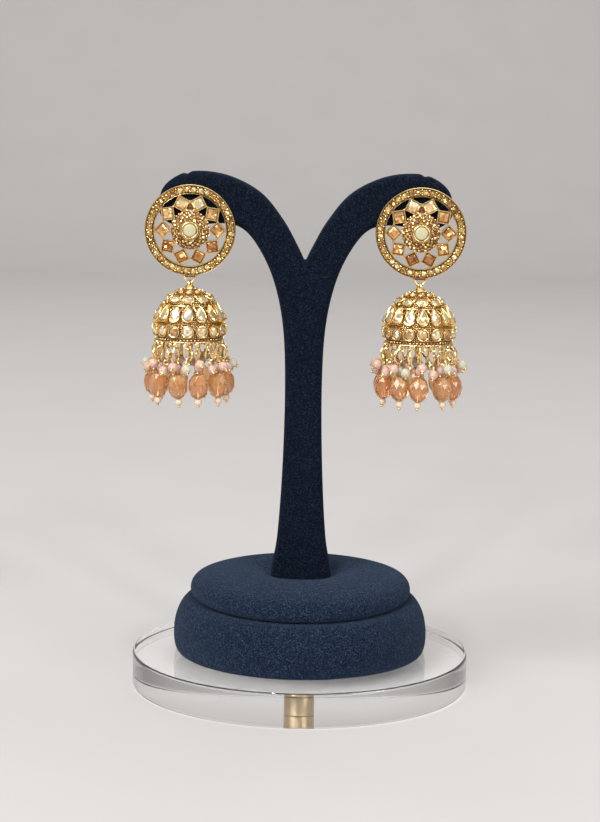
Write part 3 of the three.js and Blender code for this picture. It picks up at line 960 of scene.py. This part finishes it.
def clutch(side):
    """A plain ring behind the arm with a groove round its waist."""
    node = f"{side}_clutch"
    low, high = node_box(node)
    middle, length = (low + high) / 2, high[1] - low[1]
    radius = (high[2] - low[2]) / 2
    waist = 0.72 * radius
    profile = rounded([(0.8, 0), (radius, 0), (radius, 0.3 * length), (waist, 0.5 * length),
                       (waist, 0.85 * length), (0.6 * radius, length), (0.8, length)], 2, loop=True)
    rest = place((middle[0], low[1], middle[2]), (1, 0, 0), (0, 0, -1), (0, 1, 0))[0]
    shape = turned(profile, 40, "champagne_brass", loop=True).at(rest)
    return make_piece(f"{side}_clutch_ring", shape, "stand", "brass_pin", node)


# ---------------------------------------------------------------- dome

GROUND = np.array([
    # drop below the hinge, radius of the ground between the settings
    (0.8, 1.0), (1.2, 1.35), (1.7, 1.9), (2.3, 2.9), (3.0, 4.1), (3.7, 5.4), (4.4, 6.3), (5.1, 6.7),
    (6.2, 6.75), (7.2, 7.6), (8.8, 8.8), (10.4, 9.35), (11.2, 9.3), (12.4, 9.65), (13.8, 9.65),
    (15.2, 9.35), (16.7, 9.35),
])
TEARS = {"count": 16, "drop": 8.6, "half_width": 1.62, "half_length": 2.85}
ROUNDS = {"count": 16, "drop": 13.3, "radius": 1.78}
CAP_STONES = {"count": 10, "drop": 4.75, "half_width": 1.7, "half_length": 1.2}
CROWN_STONES = {"count": 10, "drop": 2.85, "radius": 0.92}


def ground_radius(drop):
    return np.interp(drop, GROUND[:, 0], GROUND[:, 1])


def ground_tilt(drop, reach=0.8):
    """The angle between up and the ground's normal: atan2 of a step down and its step outwards."""
    step_out = ground_radius(drop + reach) - ground_radius(drop - reach)
    return np.arctan2(2 * reach, step_out)


def on_dome(angles, drop, lift=0.0):
    """Places on the dome's ground at a drop, lifted along its normal."""
    drop = np.broadcast_to(np.asarray(drop, float), np.shape(angles))
    tilt = ground_tilt(drop)
    radius = ground_radius(drop) + lift * np.sin(tilt)
    return around(angles, radius, -drop + lift * np.cos(tilt), tilt)


def shell():
    """The dome's wall: the ground's profile outside, the same drawn in by the wall's thickness inside."""
    wall = 0.55
    outer = rounded(np.stack([GROUND[:, 1], -GROUND[:, 0]], axis=1), 2)[::-1]
    inner = rounded(np.stack([GROUND[1:, 1] - wall, -GROUND[1:, 0] - 0.35], axis=1), 2)
    inner[-1, 1] = outer[0, 1]
    ceiling = [(0, inner[0, 1])]
    profile = np.concatenate([ceiling, inner, outer, [(0, outer[-1, 1])]])
    return turned(profile, 128, "recessed_gold")


def lying_leaf(half_width, half_height, count):
    """A leaf outline on its side, its points to the left and right."""
    return leaf_outline(half_height, half_width, count)[:, ::-1] * (-1, 1)


def stone_rows(rng, phase):
    """The settings in their rows, with the tears' points up and the cap's leaves lying along it."""
    tear = tear_outline(TEARS["half_width"], TEARS["half_length"], 24)
    tear_stone = cut_stone(tear_outline(1.34, 2.38, 12), 0.75, 0.4, 0.56, "clear_stone")
    leaf = lying_leaf(CAP_STONES["half_width"], CAP_STONES["half_length"], 20)
    leaf_stone = cut_stone(lying_leaf(1.4, 0.95, 12), 0.48, 0.32, 0.5, "clear_stone")
    ring = circle_outline(ROUNDS["radius"], 28)
    large_stone = round_stone(1.44, 0.76, 0.42, "clear_stone", 12)
    small_ring = circle_outline(CROWN_STONES["radius"], 14)
    crown_stone = round_stone(0.77, 0.4, 0.3, "clear_stone")
    rows = (
        # row, setting, stone, lift, most tilt in degrees, least tint
        (TEARS, collet(tear, 0.9, 0.15), tear_stone, 0.05, 9, 0.5),
        (ROUNDS, collet(ring, 0.95, 0.17), large_stone, 0.05, 12, 0.1),
        (CAP_STONES, collet(leaf, 0.55, 0.16), leaf_stone, 0.1, 10, 0.6),
        (CROWN_STONES, collet(small_ring, 0.5, 0.2), crown_stone, 0.1, 12, 0.5),
    )
    parts = []
    for row, setting, stone, lift, tilt, least in rows:
        seats = on_dome(phase + circle(row["count"]), row["drop"], lift)
        parts.append(setting.copies(seats))
        parts.append(stone.copies(tilted(seats, rng, tilt), rng.uniform(least, 1.0, row["count"])))
    return parts


def angle_from(angles, phase, count):
    """How far each angle is from the nearest of equally spaced ones."""
    step = 2 * np.pi / count
    return (angles - phase + step / 2) % step - step / 2


def grains(rng, phase):
    """Small grains in rows over the ground, left out where a setting stands."""
    drops = np.arange(2.6, 15.2, 0.52)
    counts = (2 * np.pi * ground_radius(drops) / 0.56).astype(int)
    drop = np.repeat(drops, counts) + rng.uniform(-0.08, 0.08, counts.sum())
    angles = np.concatenate([circle(n) + k for k, n in enumerate(counts)])
    angles = angles + rng.uniform(-0.01, 0.01, counts.sum())
    radius = ground_radius(drop)
    free = np.ones(len(drop), bool)
    settings = (
        (TEARS, TEARS["half_width"], TEARS["half_length"]),
        (ROUNDS, ROUNDS["radius"], ROUNDS["radius"]),
        (CAP_STONES, CAP_STONES["half_width"], CAP_STONES["half_length"]),
        (CROWN_STONES, CROWN_STONES["radius"], CROWN_STONES["radius"]),
    )
    for row, half_width, half_length in settings:
        aside = radius * angle_from(angles, phase, row["count"]) / half_width
        above = (drop - row["drop"]) / (half_length * np.sin(ground_tilt(np.full(1, row["drop"]))))
        free &= aside ** 2 + above ** 2 > 0.9
    seats = on_dome(angles[free], drop[free], 0.08)
    return ball(0.22, "antique_gold", 4, 6).copies(seats)


def chevrons(phase, count, top, bottom, half_turn, lift, thickness):
    """Wires bent to a point at the top between neighbouring stones, from a low foot to a low foot."""
    parts = []
    for middle in phase + circle(count) + np.pi / count:
        drop = np.array([bottom, 0.45 * bottom + 0.55 * top, top, 0.45 * bottom + 0.55 * top, bottom])
        angles = middle + half_turn * np.array([-1.0, -0.5, 0.0, 0.5, 1.0])
        path = on_dome(angles, drop, lift)[:, :3, 3]
        side = (math.sin(middle), -math.cos(middle), 0)
        parts.append(wire(path, thickness, "antique_gold", side, 6))
    return parts


def bands():
    """The plain wire under the cap, the twisted wire at the rim, and grains along the rim and the top."""
    bead = ball(0.22, "antique_gold", 4, 7)
    return [
        hoop(7.12, -6.25, 0.27, "antique_gold"),
        rope_hoop(9.6, -16.45, 0.29, 60, "antique_gold"),
        bead.copies(around(circle(60), 9.75, -15.85)),
        bead.copies(around(circle(24), 1.95, -1.6)),
    ]


def top_loop(yaw):
    """The loop that hangs on the bracket, turned a little, and the cone that it is soldered to."""
    radius, centre = 0.76, -0.36
    angle = circle(28)
    path = np.stack([np.zeros(28), radius * np.sin(angle), centre + 1.15 * radius * np.cos(angle)], axis=1)
    thickness = 0.46 - 0.06 * np.cos(angle)[:, None]
    ring = wire(path, thickness, "antique_gold", (1, 0, 0), 10, loop=True).at(turn_about("Z", yaw))
    cone = [(0, -1.7), (1.9, -1.6), (1.45, -1.15), (1.05, -0.75), (0.75, -0.5), (0, -0.4)]
    return [ring, turned(cone, 24, "antique_gold")]


def eyelets(phase, rng):
    """Small rings soldered under the rim, one for each hook, turned a little from facing outwards."""
    count = 2 * DROP_COUNT
    seats = around(phase + circle(count), 9.65, -17.4, math.pi / 2)
    ring = hoop(0.85, 0.0, 0.25, "antique_gold", 16, 7)
    return ring.copies(tilted(seats, rng, 25))


def dome(side, phase, seed):
    rng = np.random.default_rng(seed)
    parts = [shell(), grains(rng, phase), eyelets(phase, rng)] + stone_rows(rng, phase) + bands()
    parts += top_loop(-24 if side == "left" else 30)
    parts += chevrons(phase, TEARS["count"], 6.6, 9.4, 0.14, 0.45, 0.19)
    parts += chevrons(phase, CAP_STONES["count"], 3.7, 5.8, 0.22, 0.4, 0.2)
    shape = join(*parts).at(shift(*HINGES[side]))
    return make_piece(f"{side}_stone_dome", shape, f"{side}_bell", "antique_gold", f"{side}_dome")


# ---------------------------------------------------------------- fringe


HOOK_WIRE = [
    # outwards, up, from the eyelet's middle
    (-0.15, 0.1), (0.5, 0.1), (1.25, -0.6), (1.75, -1.7), (1.7, -2.9), (1.05, -3.9), (0.1, -4.15),
    (-0.5, -3.5), (-0.65, -2.4), (-0.55, -1.2),
]


HOOK = {"orbit": 9.7, "drop": 17.9, "wire": 0.31}
CURL = {"orbit": 10.5, "drop": 22.4, "radius": 0.72, "wire": 0.28}


def hooks(side, phase, seed):
    """Twenty pear-shaped links that bulge outwards from the eyelets, turned in pairs towards each
    other, and a small ring at the foot of each."""
    rng = np.random.default_rng(seed)
    count = 2 * DROP_COUNT
    angles = phase + circle(count)
    out = np.stack([np.sin(angles), -np.cos(angles), np.zeros(count)], axis=1)
    along = np.stack([np.cos(angles), np.sin(angles), np.zeros(count)], axis=1)
    up = np.tile([0.0, 0.0, 1.0], (count, 1))
    yaw = np.radians(np.where(np.arange(count) % 2, 42, -42) + rng.uniform(-28, 28, count))[:, None]
    x_axis = np.cos(yaw) * out + np.sin(yaw) * along
    flat = rounded(HOOK_WIRE, 2, loop=True)
    path = np.stack([flat[:, 0], np.zeros(len(flat)), flat[:, 1]], axis=1)
    link = wire(path, HOOK["wire"], "antique_gold", (0, 1, 0), 7, loop=True)
    drop = HOOK["drop"] + rng.uniform(-0.2, 0.3, count)
    spots = HOOK["orbit"] * out - drop[:, None] * up
    links = link.copies(place(spots, x_axis, np.cross(up, x_axis), up))
    curl = hoop(CURL["radius"], 0.0, CURL["wire"], "antique_gold", 16, 7)
    spots = CURL["orbit"] * out - CURL["drop"] * up
    curls = curl.copies(place(spots, np.cross(x_axis, up), up, x_axis))
    shape = join(links, curls).at(shift(*HINGES[side]))
    return make_piece(f"{side}_fringe_hooks", shape, f"{side}_bell", "antique_gold", f"{side}_rim_hooks")


def glass_bead(radius, finish):
    """A small bead cut in staggered facets, with flat ends round its hole."""
    rows = np.radians([-72, -42, -14, 14, 42, 72])
    profile = np.stack([radius * np.cos(rows), radius * np.sin(rows)], axis=1)
    return faceted(profile, 8, finish)


def short_pin(radius):
    """A bead's pin: a wire through it and a ball below it."""
    line = [(0, 0, -radius - 0.25), (0, 0, 0.0), (0, 0, radius + 1.3)]
    cup = [(0, -radius - 0.2), (0.5, -radius - 0.05), (0.62, -radius + 0.22), (0, -radius + 0.3)]
    return join(wire(line, 0.17, "antique_gold", (1, 0, 0), 6),
                ball(0.34, "antique_gold", 5, 8).at(shift(z=-radius - 0.32)),
                turned(cup, 10, "antique_gold"))


def leaning(angle, radius, drop, lean, sway=0.0):
    """A place whose Z is up but leans inwards by an angle, so that what hangs along -Z swings outwards."""
    out = np.array([math.sin(angle), -math.cos(angle), 0.0])
    along = np.array([math.cos(angle), math.sin(angle), 0.0])
    up = np.array([0.0, 0.0, 1.0])
    z_axis = unit(up * math.cos(lean) - out * math.sin(lean) - along * math.tan(sway))
    x_axis = unit(along - z_axis * (along @ z_axis))
    return place(radius * out - drop * up, x_axis, np.cross(z_axis, x_axis), z_axis)[0]


def small_beads(side, phase, seed):
    """Short pins with a pink or mint bead, between the drops and swinging outwards over them."""
    rng = np.random.default_rng(seed)
    size = 1.44
    parts = []
    for step in range(2 * DROP_COUNT):
        between = step % 2 == 0
        angle = phase + (step + 1) * np.pi / DROP_COUNT + rng.uniform(-0.05, 0.05)
        lean = math.radians(rng.uniform(20, 60) if between else rng.uniform(35, 80))
        radius = (11.9 if between else 12.6) + rng.uniform(-0.3, 0.5)
        drop = (24.2 if between else 23.0) + rng.uniform(-0.5, 0.4)
        finish = "mint_bead" if rng.random() < 0.18 else "pink_bead"
        seat = leaning(angle, radius, drop, lean, math.radians(rng.uniform(-18, 18)))
        parts.append(join(glass_bead(size, finish), short_pin(size)).at(seat))
    shape = join(*parts).at(shift(*HINGES[side]))
    return make_piece(f"{side}_small_glass_beads", shape, f"{side}_bell", "blush_beads",
                      f"{side}_small_beads")


# How far each drop swings aside, in degrees, to the right as seen from outside
SWAY = {"left": (-1, 0, 4, 2, -3, 4, -2, -3, 0, 5), "right": (-3, 3, -2, 4, -3, 2, -4, 3, -2, 4)}


def drop_seat(side, number, phase):
    """A drop's place at its node's middle, swung about its pin's top."""
    low, high = node_box(f"{side}_drop_bead_{number:02d}")
    middle = (low + high) / 2
    angle = phase + 2 * np.pi * (number - 1) / DROP_COUNT
    sway = math.radians(SWAY[side][number - 1])
    swing = leaning(angle, 0.0, 0.0, math.radians(4), sway)
    arm = shift(z=-6.0)
    return shift(*(middle + (0, 0, 6.0))) @ swing @ arm


DROP_SHARES = [
    # shares of the radius, shares of half the height
    (0.34, -1.0), (0.70, -0.80), (0.94, -0.42), (1.02, 0.0), (0.95, 0.42), (0.70, 0.80), (0.34, 1.0),
]


def drop_bead(side, number, phase):
    """A long glass bead in staggered facets, fullest a little below its middle."""
    low, high = node_box(f"{side}_drop_bead_{number:02d}")
    half = (high[2] - low[2]) / 2
    radius = (high[0] - low[0]) / 2
    profile = np.array(DROP_SHARES) * (radius, half)
    shape = faceted(profile, 10, "amber_glass").at(drop_seat(side, number, phase))
    return make_piece(f"{side}_amber_drop_{number:02d}", shape, f"{side}_bell", "amber_glass",
                      f"{side}_drop_bead_{number:02d}")


def drop_pin(side, number, phase, rng):
    """A head pin: ball and pearl below the drop, gold rings and a bead above it, an eye at the top."""
    low, high = node_box(f"{side}_drop_bead_{number:02d}")
    half = (high[2] - low[2]) / 2
    pearl_radius, bead_radius = 1.08, 1.34
    finish = "mint_bead" if rng.random() < 0.18 else "pink_bead"
    pearl_middle = -half - pearl_radius + 0.12
    bead_middle = half + bead_radius + 0.35
    line = [(0, 0, pearl_middle - pearl_radius), (0, 0, 0), (0, 0, bead_middle + bead_radius + 0.7)]
    parts = [
        ball(0.42, "antique_gold", 6, 10).at(shift(z=pearl_middle - pearl_radius - 0.22)),
        ball(pearl_radius, "pearl", 8, 14).at(shift(z=pearl_middle)),
        wire(line, 0.18, "antique_gold", (1, 0, 0), 6),
        hoop(0.62, half + 0.12, 0.2, "antique_gold", 14, 6),
        hoop(0.5, half + 0.38, 0.17, "antique_gold", 14, 6),
        glass_bead(bead_radius, finish).at(shift(z=bead_middle)),
    ]
    eye = hoop(0.5, 0.0, 0.17, "antique_gold", 14, 6)
    parts.append(eye.at(shift(z=bead_middle + bead_radius + 0.75) @ turn_about("X", 90)))
    shape = join(*parts).at(drop_seat(side, number, phase))
    return make_piece(f"{side}_head_pin_{number:02d}", shape, f"{side}_bell", "pearl_pins",
                      f"{side}_drop_pin_{number:02d}")


def fringe(side, phase, seed):
    rng = np.random.default_rng(seed)
    hooks(side, phase, seed + 1)
    small_beads(side, phase, seed + 2)
    for number in range(1, DROP_COUNT + 1):
        drop_bead(side, number, phase)
        drop_pin(side, number, phase, rng)


# ---------------------------------------------------------------- stage


def cove():
    """A sheet that lies flat under the stand and curves up behind it: a line, a quarter circle and a
    line in Y and Z, carried along X."""
    bend, back, front, top, level = 700.0, 1500.0, -2500.0, 3500.0, -0.25
    turn = np.linspace(0, np.pi / 2, 24)
    curve_y = back + bend * np.sin(turn)
    curve_z = level + bend * (1 - np.cos(turn))
    line_y = np.concatenate([[front], curve_y, [back + bend]])
    line_z = np.concatenate([[level], curve_z, [top]])
    across = np.array([-3500.0, 3500.0])
    points = np.stack(np.broadcast_arrays(across[None, :], line_y[:, None], line_z[:, None]), axis=-1)
    return surface(points, "pale_floor", (False, False))


def studio():
    ground = make_piece("floor", cove(), None, None)
    world = bpy.data.worlds.new("studio")
    world.use_nodes = True
    background = world.node_tree.nodes["Background"]
    background.inputs["Color"].default_value = rgb(0.80, 0.78, 0.78)
    background.inputs["Strength"].default_value = 0.27
    bpy.context.scene.world = world
    lamps = (
        # name, place in metres, size in metres, watts
        ("key", (-1.4, -1.3, 1.8), 1.5, 52.0),
        ("fill", (1.7, -1.6, 0.9), 1.0, 15.0),
        ("spark_left", (-0.4, -1.2, 0.6), 0.12, 5.0),
        ("spark_right", (0.55, -1.1, 0.75), 0.12, 4.0),
        ("top", (0.25, 0.4, 2.1), 2.2, 30.0),
    )
    for name, spot, size, watts in lamps:
        lamp = bpy.data.lights.new(name, "AREA")
        lamp.size, lamp.energy = size, watts
        holder = bpy.data.objects.new(name, lamp)
        holder.location = spot
        holder.rotation_euler = (Vector((0, 0, 0.09)) - Vector(spot)).to_track_quat("-Z", "Y").to_euler()
        bpy.context.scene.collection.objects.link(holder)


def camera():
    """A long lens a little above the earrings, pitched and rolled slightly down."""
    data = bpy.data.cameras.new("camera")
    data.sensor_fit, data.sensor_height, data.lens = "VERTICAL", 36.0, 90.4
    holder = bpy.data.objects.new("camera", data)
    pitch = Matrix.Rotation(math.radians(81.7), 4, "X")
    roll = Matrix.Rotation(math.radians(0.8), 4, "Z")
    holder.matrix_world = Matrix.Translation((-0.0009, -0.603, 0.1698)) @ pitch @ roll
    bpy.context.scene.collection.objects.link(holder)
    bpy.context.scene.camera = holder


# ---------------------------------------------------------------- assembly

camera()
studio()
acrylic_plate()
foot_pin()
base_cushion()
top_pad()
stand_neck()
for index, name in enumerate(SIDES):
    drop_phase = math.pi / DROP_COUNT if name == "left" else 0.0
    ear_disc(name, 21 + index)
    centre_stone(name)
    clutch(name)
    dome(name, 0.0 if name == "left" else 0.06, 41 + index)
    fringe(name, drop_phase, 61 + 10 * index)

bpy.context.scene.view_settings.view_transform = "Standard"
